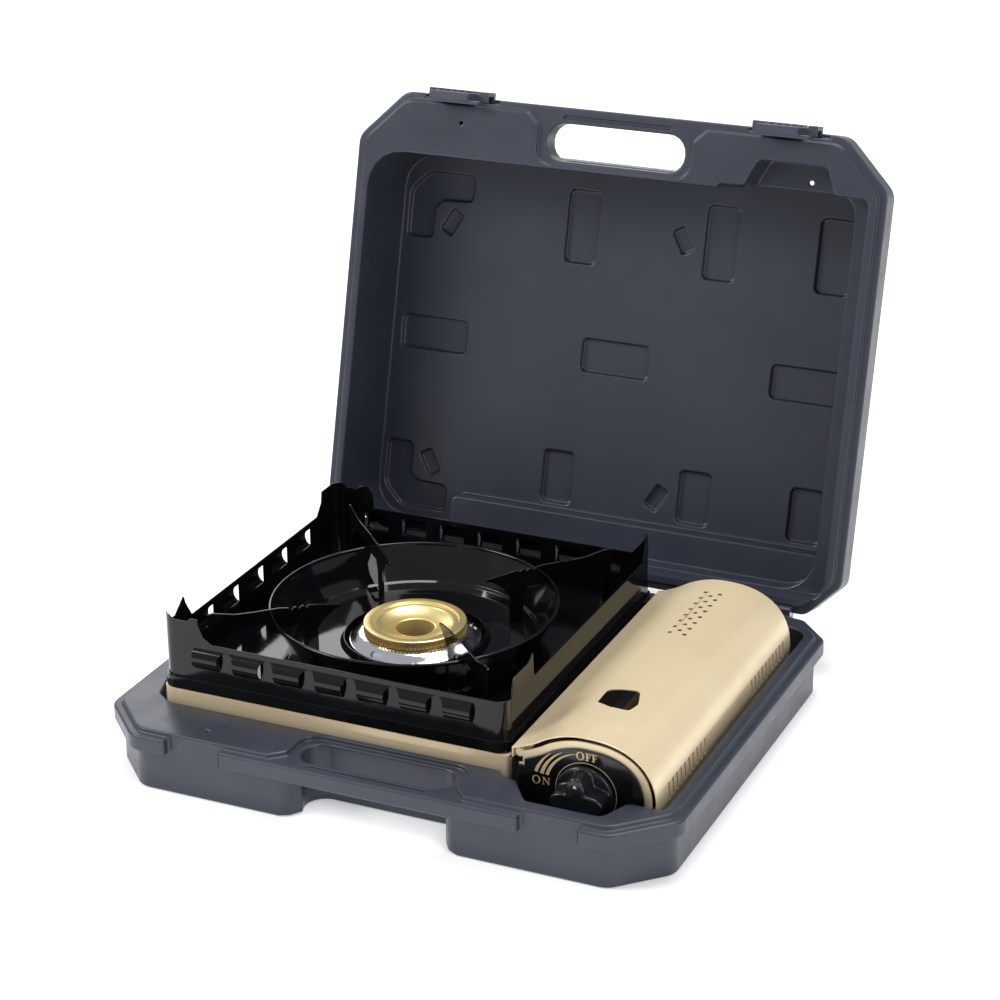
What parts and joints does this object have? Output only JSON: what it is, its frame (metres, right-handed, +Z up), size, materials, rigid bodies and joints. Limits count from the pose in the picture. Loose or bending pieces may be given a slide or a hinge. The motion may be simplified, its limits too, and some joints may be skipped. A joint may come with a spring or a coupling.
{
  "type": "portable gas stove",
  "caption": "Portable butane cassette stove with windshield tray, brass burner and hinged cartridge cover, set in its open moulded carry case.",
  "frame": {"origin": "centre of the underside of the carry case's base", "axes": "+X to the cartridge side on the right, +Y to the case hinge at the back, +Z up"},
  "size_m": [0.39, 0.4643, 0.3588],
  "materials": {
    "case_plastic": "satin, fine grain",
    "latch_plastic": "satin",
    "gold_paint": "satin champagne paint",
    "black_enamel": "glossy black enamel",
    "black_gloss": "gloss",
    "knob_plastic": "gloss",
    "bright_steel": "bright zinc",
    "plain_steel": "galvanised",
    "chrome": "polished",
    "cast_aluminium": "as cast",
    "brass": "turned",
    "copper_pipe": "drawn copper",
    "rubber_black": "matt",
    "igniter_plastic": "matt",
    "push_plastic": "satin",
    "white_ceramic": "unglazed",
    "lead_rubber": "satin",
    "magnet": "nickel plated"
  },
  "bodies": {
    "case_base": {"case_base": "case_plastic", "case_hinge_pins": "bright_steel"},
    "case_lid": {"case_lid": "case_plastic"},
    "latch_left": {"latch_left": "latch_plastic"},
    "latch_right": {"latch_right": "latch_plastic"},
    "stove": {"body_pan": "gold_paint", "front_panel": "gold_paint", "rear_panel": "gold_paint", "control_fascia": "black_gloss", "gas_regulator": "cast_aluminium", "regulator_cap": "brass", "cartridge_socket": "cast_aluminium", "holder_magnets": "magnet", "cartridge_rails": "plain_steel", "heat_shield": "plain_steel", "heat_panel": "plain_steel", "cover_hinge_pins": "bright_steel", "igniter_unit": "igniter_plastic", "igniter_lead": "lead_rubber", "electrode_insulator": "white_ceramic", "spark_electrode": "bright_steel", "gas_pipe": "copper_pipe", "gas_jet": "brass", "jet_bracket": "plain_steel", "burner_body": "cast_aluminium", "burner_bracket": "plain_steel", "burner_cone": "chrome", "burner_cap": "brass", "rubber_feet": "rubber_black", "foot_screws": "bright_steel", "fascia_screws": "bright_steel", "rear_panel_screws": "bright_steel", "burner_screws": "bright_steel", "lead_clips": "plain_steel"},
    "tray": {"drip_tray": "black_enamel", "wind_ring": "black_enamel", "pan_support_front_left": "black_enamel", "pan_support_front_right": "black_enamel", "pan_support_rear_left": "black_enamel", "pan_support_rear_right": "black_enamel", "support_rivets": "black_enamel"},
    "cover": {"cartridge_cover": "gold_paint"},
    "knob": {"control_knob": "knob_plastic", "knob_spindle": "bright_steel", "ignition_cam": "igniter_plastic"},
    "igniter_plunger": {"igniter_plunger": "push_plastic"}
  },
  "joints": [
    {"name": "lid_hinge", "type": "hinge", "parent": "case_base", "child": "case_lid", "pos_m": [0, 0.161, 0.042], "axis": [-1, 0, 0], "range_deg": [-105, 0]},
    {"name": "latch_left_slide", "type": "slide", "parent": "case_lid", "child": "latch_left", "axis": [1, 0, 0], "range_m": [0, 0.008]},
    {"name": "latch_right_slide", "type": "slide", "parent": "case_lid", "child": "latch_right", "axis": [1, 0, 0], "range_m": [0, 0.008]},
    {"name": "stove_lift", "type": "slide", "parent": "case_base", "child": "stove", "axis": [0, 0, 1], "range_m": [0, 0.09]},
    {"name": "tray_lift", "type": "slide", "parent": "stove", "child": "tray", "axis": [0, 0, 1], "range_m": [0, 0.06]},
    {"name": "cover_hinge", "type": "hinge", "parent": "stove", "child": "cover", "pos_m": [0.0865, 0, 0.0575], "axis": [0, -1, 0], "range_deg": [0, 62]},
    {"name": "knob_turn", "type": "hinge", "parent": "stove", "child": "knob", "pos_m": [0.1305, 0, 0.0406], "axis": [0, -1, 0], "range_deg": [0, 110]},
    {"name": "igniter_push", "type": "slide", "parent": "stove", "child": "igniter_plunger", "axis": [-1, 0, 0], "range_m": [0, 0.0042]}
  ],
  "couplings": [
    {"joint": "igniter_push", "follows": "knob_turn", "m_per_rad": 0.0020834}
  ]
}
